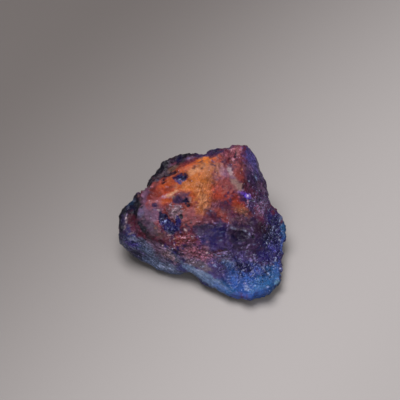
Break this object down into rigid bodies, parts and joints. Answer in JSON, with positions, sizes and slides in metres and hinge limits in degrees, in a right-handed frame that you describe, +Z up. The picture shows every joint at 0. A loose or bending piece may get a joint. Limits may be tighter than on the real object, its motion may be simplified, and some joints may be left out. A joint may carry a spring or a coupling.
{
  "type": "afghanite",
  "caption": "Rough broken chunk of afghanite, glowing orange on top and deep blue at its blunt tip, lying on a small flat break.",
  "frame": {"origin": "on the surface that the chunk rests on, under the middle of its outline", "axes": "+Z up, +X along its longest side, away from the dark lower ledge; the blunt blue tip points to -Y and +X"},
  "size_m": [0.0164, 0.0152, 0.0082],
  "materials": {
    "afghanite": "vitreous, rough broken faces, partly translucent"
  },
  "bodies": {
    "root": {"afghanite_chunk": "afghanite"}
  },
  "joints": []
}
